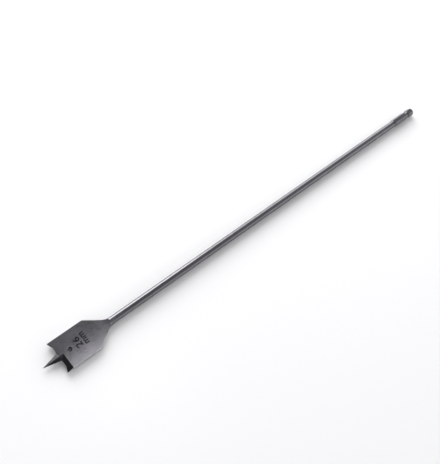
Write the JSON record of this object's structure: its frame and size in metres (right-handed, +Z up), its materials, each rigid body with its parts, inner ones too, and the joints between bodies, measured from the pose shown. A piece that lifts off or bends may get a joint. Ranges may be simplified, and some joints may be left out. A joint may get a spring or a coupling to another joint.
{
  "type": "spade drill bit",
  "caption": "Long spade drill bit: flat blade with ground lips, outer spurs and a centre spike on a slim round shaft, with a hexagonal drive shank.",
  "frame": {"origin": "centre of the shank's end face, on the axis of the bit", "axes": "+X along the axis from the shank to the point; +Z up, square to the flats of the blade; +Y across the blade"},
  "size_m": [0.4, 0.026, 0.0064],
  "materials": {
    "ground_steel": "satin ground, bare"
  },
  "bodies": {
    "root": {"spade_bit": "ground_steel"}
  },
  "joints": []
}
